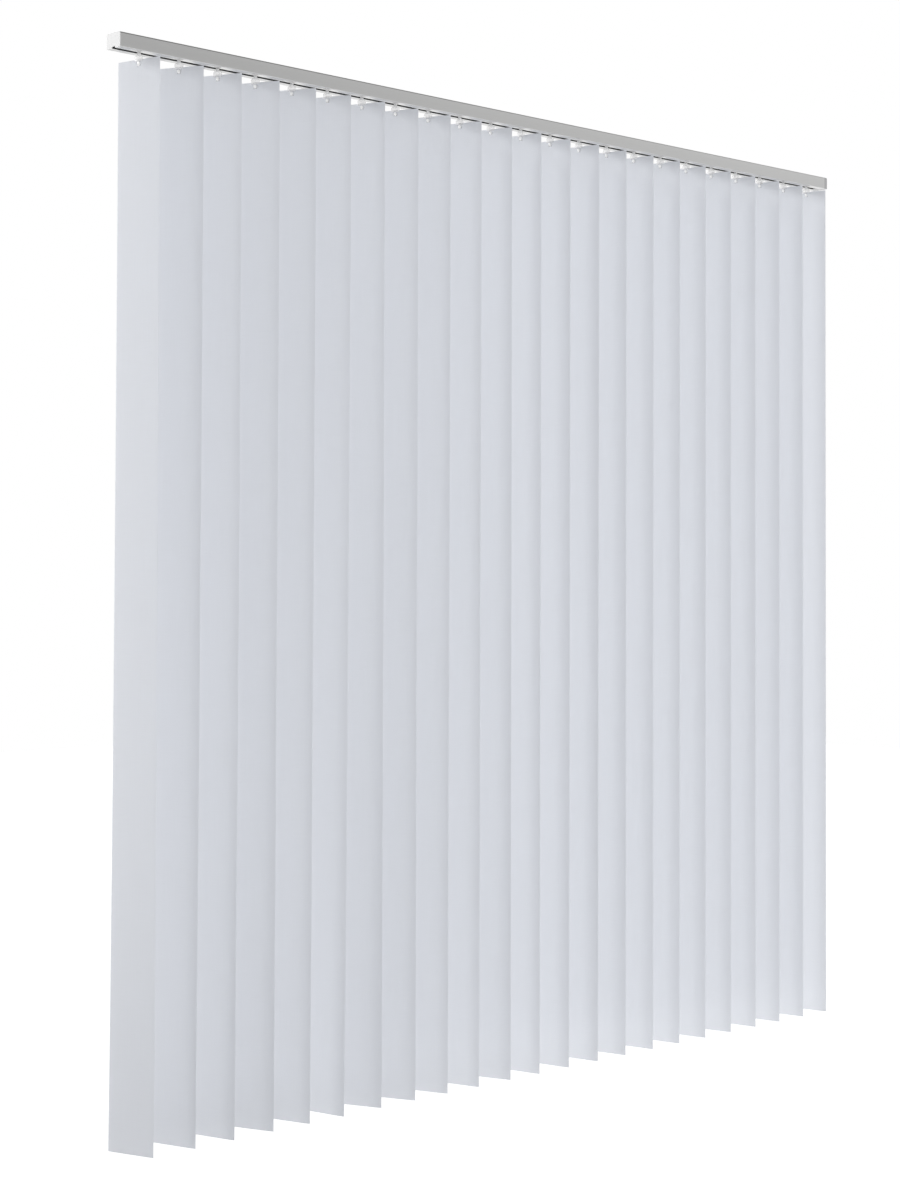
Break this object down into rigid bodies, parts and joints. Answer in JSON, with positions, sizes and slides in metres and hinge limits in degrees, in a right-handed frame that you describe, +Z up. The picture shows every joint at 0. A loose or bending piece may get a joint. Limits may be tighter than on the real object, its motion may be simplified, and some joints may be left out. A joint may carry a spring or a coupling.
{
  "type": "vertical blind",
  "caption": "Vertical blind: fabric slats hang on turning stems from carriers that roll in a slotted ceiling rail; they tilt together and draw to one side.",
  "frame": {"origin": "middle of the ceiling plane, on the top faces of the ceiling clips", "axes": "+X along the rail to the control end, -Y to the viewer, +Z up into the ceiling"},
  "size_m": [1.86, 0.0848, 1.8],
  "materials": {
    "rail": "satin",
    "rod": "satin",
    "steel": "satin",
    "cap_light": "matte",
    "cap_grey": "matte",
    "wheel": "matte",
    "carrier": "matte",
    "slat": "matte"
  },
  "bodies": {
    "head_rail": {"head_rail": "rail", "idle_cap": "cap_light", "return_pin": "steel", "control_body": "cap_grey", "control_cover": "cap_grey", "draw_pin": "steel", "ceiling_clip_1": "steel", "ceiling_clip_2": "steel", "ceiling_clip_3": "steel", "carrier_23": "carrier"},
    "tilt_rod": {"tilt_rod": "rod", "chain_wheel": "wheel"},
    "return_pulley": {"return_pulley": "wheel"},
    "draw_roller_front": {"draw_roller_front": "wheel"},
    "draw_roller_back": {"draw_roller_back": "wheel"},
    "carrier_01": {"carrier_01": "carrier"},
    "carrier_02": {"carrier_02": "carrier"},
    "carrier_03": {"carrier_03": "carrier"},
    "carrier_04": {"carrier_04": "carrier"},
    "carrier_05": {"carrier_05": "carrier"},
    "carrier_06": {"carrier_06": "carrier"},
    "carrier_07": {"carrier_07": "carrier"},
    "carrier_08": {"carrier_08": "carrier"},
    "carrier_09": {"carrier_09": "carrier"},
    "carrier_10": {"carrier_10": "carrier"},
    "carrier_11": {"carrier_11": "carrier"},
    "carrier_12": {"carrier_12": "carrier"},
    "carrier_13": {"carrier_13": "carrier"},
    "carrier_14": {"carrier_14": "carrier"},
    "carrier_15": {"carrier_15": "carrier"},
    "carrier_16": {"carrier_16": "carrier"},
    "carrier_17": {"carrier_17": "carrier"},
    "carrier_18": {"carrier_18": "carrier"},
    "carrier_19": {"carrier_19": "carrier"},
    "carrier_20": {"carrier_20": "carrier"},
    "carrier_21": {"carrier_21": "carrier"},
    "carrier_22": {"carrier_22": "carrier"},
    "slat_01": {"slat_01": "slat"},
    "slat_02": {"slat_02": "slat"},
    "slat_03": {"slat_03": "slat"},
    "slat_04": {"slat_04": "slat"},
    "slat_05": {"slat_05": "slat"},
    "slat_06": {"slat_06": "slat"},
    "slat_07": {"slat_07": "slat"},
    "slat_08": {"slat_08": "slat"},
    "slat_09": {"slat_09": "slat"},
    "slat_10": {"slat_10": "slat"},
    "slat_11": {"slat_11": "slat"},
    "slat_12": {"slat_12": "slat"},
    "slat_13": {"slat_13": "slat"},
    "slat_14": {"slat_14": "slat"},
    "slat_15": {"slat_15": "slat"},
    "slat_16": {"slat_16": "slat"},
    "slat_17": {"slat_17": "slat"},
    "slat_18": {"slat_18": "slat"},
    "slat_19": {"slat_19": "slat"},
    "slat_20": {"slat_20": "slat"},
    "slat_21": {"slat_21": "slat"},
    "slat_22": {"slat_22": "slat"},
    "slat_23": {"slat_23": "slat"}
  },
  "joints": [
    {"name": "draw_01", "type": "slide", "parent": "head_rail", "child": "carrier_01", "axis": [1, 0, 0], "range_m": [0, 1.364]},
    {"name": "draw_02", "type": "slide", "parent": "head_rail", "child": "carrier_02", "axis": [1, 0, 0], "range_m": [0, 1.302]},
    {"name": "draw_03", "type": "slide", "parent": "head_rail", "child": "carrier_03", "axis": [1, 0, 0], "range_m": [0, 1.24]},
    {"name": "draw_04", "type": "slide", "parent": "head_rail", "child": "carrier_04", "axis": [1, 0, 0], "range_m": [0, 1.178]},
    {"name": "draw_05", "type": "slide", "parent": "head_rail", "child": "carrier_05", "axis": [1, 0, 0], "range_m": [0, 1.116]},
    {"name": "draw_06", "type": "slide", "parent": "head_rail", "child": "carrier_06", "axis": [1, 0, 0], "range_m": [0, 1.054]},
    {"name": "draw_07", "type": "slide", "parent": "head_rail", "child": "carrier_07", "axis": [1, 0, 0], "range_m": [0, 0.992]},
    {"name": "draw_08", "type": "slide", "parent": "head_rail", "child": "carrier_08", "axis": [1, 0, 0], "range_m": [0, 0.93]},
    {"name": "draw_09", "type": "slide", "parent": "head_rail", "child": "carrier_09", "axis": [1, 0, 0], "range_m": [0, 0.868]},
    {"name": "draw_10", "type": "slide", "parent": "head_rail", "child": "carrier_10", "axis": [1, 0, 0], "range_m": [0, 0.806]},
    {"name": "draw_11", "type": "slide", "parent": "head_rail", "child": "carrier_11", "axis": [1, 0, 0], "range_m": [0, 0.744]},
    {"name": "draw_12", "type": "slide", "parent": "head_rail", "child": "carrier_12", "axis": [1, 0, 0], "range_m": [0, 0.682]},
    {"name": "draw_13", "type": "slide", "parent": "head_rail", "child": "carrier_13", "axis": [1, 0, 0], "range_m": [0, 0.62]},
    {"name": "draw_14", "type": "slide", "parent": "head_rail", "child": "carrier_14", "axis": [1, 0, 0], "range_m": [0, 0.558]},
    {"name": "draw_15", "type": "slide", "parent": "head_rail", "child": "carrier_15", "axis": [1, 0, 0], "range_m": [0, 0.496]},
    {"name": "draw_16", "type": "slide", "parent": "head_rail", "child": "carrier_16", "axis": [1, 0, 0], "range_m": [0, 0.434]},
    {"name": "draw_17", "type": "slide", "parent": "head_rail", "child": "carrier_17", "axis": [1, 0, 0], "range_m": [0, 0.372]},
    {"name": "draw_18", "type": "slide", "parent": "head_rail", "child": "carrier_18", "axis": [1, 0, 0], "range_m": [0, 0.31]},
    {"name": "draw_19", "type": "slide", "parent": "head_rail", "child": "carrier_19", "axis": [1, 0, 0], "range_m": [0, 0.248]},
    {"name": "draw_20", "type": "slide", "parent": "head_rail", "child": "carrier_20", "axis": [1, 0, 0], "range_m": [0, 0.186]},
    {"name": "draw_21", "type": "slide", "parent": "head_rail", "child": "carrier_21", "axis": [1, 0, 0], "range_m": [0, 0.124]},
    {"name": "draw_22", "type": "slide", "parent": "head_rail", "child": "carrier_22", "axis": [1, 0, 0], "range_m": [0, 0.062]},
    {"name": "tilt_01", "type": "hinge", "parent": "carrier_01", "child": "slat_01", "pos_m": [-0.88, 0, -0.0136], "axis": [0, 0, 1], "range_deg": [-98, 62]},
    {"name": "tilt_02", "type": "hinge", "parent": "carrier_02", "child": "slat_02", "pos_m": [-0.8, 0, -0.0136], "axis": [0, 0, 1], "range_deg": [-98, 62]},
    {"name": "tilt_03", "type": "hinge", "parent": "carrier_03", "child": "slat_03", "pos_m": [-0.72, 0, -0.0136], "axis": [0, 0, 1], "range_deg": [-98, 62]},
    {"name": "tilt_04", "type": "hinge", "parent": "carrier_04", "child": "slat_04", "pos_m": [-0.64, 0, -0.0136], "axis": [0, 0, 1], "range_deg": [-98, 62]},
    {"name": "tilt_05", "type": "hinge", "parent": "carrier_05", "child": "slat_05", "pos_m": [-0.56, 0, -0.0136], "axis": [0, 0, 1], "range_deg": [-98, 62]},
    {"name": "tilt_06", "type": "hinge", "parent": "carrier_06", "child": "slat_06", "pos_m": [-0.48, 0, -0.0136], "axis": [0, 0, 1], "range_deg": [-98, 62]},
    {"name": "tilt_07", "type": "hinge", "parent": "carrier_07", "child": "slat_07", "pos_m": [-0.4, 0, -0.0136], "axis": [0, 0, 1], "range_deg": [-98, 62]},
    {"name": "tilt_08", "type": "hinge", "parent": "carrier_08", "child": "slat_08", "pos_m": [-0.32, 0, -0.0136], "axis": [0, 0, 1], "range_deg": [-98, 62]},
    {"name": "tilt_09", "type": "hinge", "parent": "carrier_09", "child": "slat_09", "pos_m": [-0.24, 0, -0.0136], "axis": [0, 0, 1], "range_deg": [-98, 62]},
    {"name": "tilt_10", "type": "hinge", "parent": "carrier_10", "child": "slat_10", "pos_m": [-0.16, 0, -0.0136], "axis": [0, 0, 1], "range_deg": [-98, 62]},
    {"name": "tilt_11", "type": "hinge", "parent": "carrier_11", "child": "slat_11", "pos_m": [-0.08, 0, -0.0136], "axis": [0, 0, 1], "range_deg": [-98, 62]},
    {"name": "tilt_12", "type": "hinge", "parent": "carrier_12", "child": "slat_12", "pos_m": [0, 0, -0.0136], "axis": [0, 0, 1], "range_deg": [-98, 62]},
    {"name": "tilt_13", "type": "hinge", "parent": "carrier_13", "child": "slat_13", "pos_m": [0.08, 0, -0.0136], "axis": [0, 0, 1], "range_deg": [-98, 62]},
    {"name": "tilt_14", "type": "hinge", "parent": "carrier_14", "child": "slat_14", "pos_m": [0.16, 0, -0.0136], "axis": [0, 0, 1], "range_deg": [-98, 62]},
    {"name": "tilt_15", "type": "hinge", "parent": "carrier_15", "child": "slat_15", "pos_m": [0.24, 0, -0.0136], "axis": [0, 0, 1], "range_deg": [-98, 62]},
    {"name": "tilt_16", "type": "hinge", "parent": "carrier_16", "child": "slat_16", "pos_m": [0.32, 0, -0.0136], "axis": [0, 0, 1], "range_deg": [-98, 62]},
    {"name": "tilt_17", "type": "hinge", "parent": "carrier_17", "child": "slat_17", "pos_m": [0.4, 0, -0.0136], "axis": [0, 0, 1], "range_deg": [-98, 62]},
    {"name": "tilt_18", "type": "hinge", "parent": "carrier_18", "child": "slat_18", "pos_m": [0.48, 0, -0.0136], "axis": [0, 0, 1], "range_deg": [-98, 62]},
    {"name": "tilt_19", "type": "hinge", "parent": "carrier_19", "child": "slat_19", "pos_m": [0.56, 0, -0.0136], "axis": [0, 0, 1], "range_deg": [-98, 62]},
    {"name": "tilt_20", "type": "hinge", "parent": "carrier_20", "child": "slat_20", "pos_m": [0.64, 0, -0.0136], "axis": [0, 0, 1], "range_deg": [-98, 62]},
    {"name": "tilt_21", "type": "hinge", "parent": "carrier_21", "child": "slat_21", "pos_m": [0.72, 0, -0.0136], "axis": [0, 0, 1], "range_deg": [-98, 62]},
    {"name": "tilt_22", "type": "hinge", "parent": "carrier_22", "child": "slat_22", "pos_m": [0.8, 0, -0.0136], "axis": [0, 0, 1], "range_deg": [-98, 62]},
    {"name": "tilt_23", "type": "hinge", "parent": "head_rail", "child": "slat_23", "pos_m": [0.88, 0, -0.0136], "axis": [0, 0, 1], "range_deg": [-98, 62]},
    {"name": "rod_turn", "type": "hinge", "parent": "head_rail", "child": "tilt_rod", "pos_m": [0, 0.0094, -0.0164], "axis": [1, 0, 0], "range_deg": [-1177, 745]},
    {"name": "return_pulley_turn", "type": "hinge", "parent": "head_rail", "child": "return_pulley", "pos_m": [-0.9154, -0.008, -0.0098], "axis": [0, 0, 1], "range_deg": [-1, 19538.86]},
    {"name": "draw_roller_front_turn", "type": "hinge", "parent": "head_rail", "child": "draw_roller_front", "pos_m": [0.9252, -0.012, -0.0123], "axis": [0, 1, 0], "range_deg": [-1, 31261.58]},
    {"name": "draw_roller_back_turn", "type": "hinge", "parent": "head_rail", "child": "draw_roller_back", "pos_m": [0.9252, -0.004, -0.0123], "axis": [0, 1, 0], "range_deg": [-31261.58, 1]}
  ],
  "couplings": [
    {"joint": "draw_02", "follows": "draw_01", "ratio": 0.95455},
    {"joint": "draw_03", "follows": "draw_01", "ratio": 0.90909},
    {"joint": "draw_04", "follows": "draw_01", "ratio": 0.86364},
    {"joint": "draw_05", "follows": "draw_01", "ratio": 0.81818},
    {"joint": "draw_06", "follows": "draw_01", "ratio": 0.77273},
    {"joint": "draw_07", "follows": "draw_01", "ratio": 0.72727},
    {"joint": "draw_08", "follows": "draw_01", "ratio": 0.68182},
    {"joint": "draw_09", "follows": "draw_01", "ratio": 0.63636},
    {"joint": "draw_10", "follows": "draw_01", "ratio": 0.59091},
    {"joint": "draw_11", "follows": "draw_01", "ratio": 0.54545},
    {"joint": "draw_12", "follows": "draw_01", "ratio": 0.5},
    {"joint": "draw_13", "follows": "draw_01", "ratio": 0.45455},
    {"joint": "draw_14", "follows": "draw_01", "ratio": 0.40909},
    {"joint": "draw_15", "follows": "draw_01", "ratio": 0.36364},
    {"joint": "draw_16", "follows": "draw_01", "ratio": 0.31818},
    {"joint": "draw_17", "follows": "draw_01", "ratio": 0.27273},
    {"joint": "draw_18", "follows": "draw_01", "ratio": 0.22727},
    {"joint": "draw_19", "follows": "draw_01", "ratio": 0.18182},
    {"joint": "draw_20", "follows": "draw_01", "ratio": 0.13636},
    {"joint": "draw_21", "follows": "draw_01", "ratio": 0.090909},
    {"joint": "draw_22", "follows": "draw_01", "ratio": 0.045455},
    {"joint": "tilt_02", "follows": "tilt_01", "ratio": 1},
    {"joint": "tilt_03", "follows": "tilt_01", "ratio": 1},
    {"joint": "tilt_04", "follows": "tilt_01", "ratio": 1},
    {"joint": "tilt_05", "follows": "tilt_01", "ratio": 1},
    {"joint": "tilt_06", "follows": "tilt_01", "ratio": 1},
    {"joint": "tilt_07", "follows": "tilt_01", "ratio": 1},
    {"joint": "tilt_08", "follows": "tilt_01", "ratio": 1},
    {"joint": "tilt_09", "follows": "tilt_01", "ratio": 1},
    {"joint": "tilt_10", "follows": "tilt_01", "ratio": 1},
    {"joint": "tilt_11", "follows": "tilt_01", "ratio": 1},
    {"joint": "tilt_12", "follows": "tilt_01", "ratio": 1},
    {"joint": "tilt_13", "follows": "tilt_01", "ratio": 1},
    {"joint": "tilt_14", "follows": "tilt_01", "ratio": 1},
    {"joint": "tilt_15", "follows": "tilt_01", "ratio": 1},
    {"joint": "tilt_16", "follows": "tilt_01", "ratio": 1},
    {"joint": "tilt_17", "follows": "tilt_01", "ratio": 1},
    {"joint": "tilt_18", "follows": "tilt_01", "ratio": 1},
    {"joint": "tilt_19", "follows": "tilt_01", "ratio": 1},
    {"joint": "tilt_20", "follows": "tilt_01", "ratio": 1},
    {"joint": "tilt_21", "follows": "tilt_01", "ratio": 1},
    {"joint": "tilt_22", "follows": "tilt_01", "ratio": 1},
    {"joint": "tilt_23", "follows": "tilt_01", "ratio": 1},
    {"joint": "rod_turn", "follows": "tilt_01", "ratio": 12},
    {"joint": "return_pulley_turn", "follows": "draw_01", "rad_per_m": 250},
    {"joint": "draw_roller_front_turn", "follows": "draw_01", "rad_per_m": 400},
    {"joint": "draw_roller_back_turn", "follows": "draw_01", "rad_per_m": -400}
  ]
}
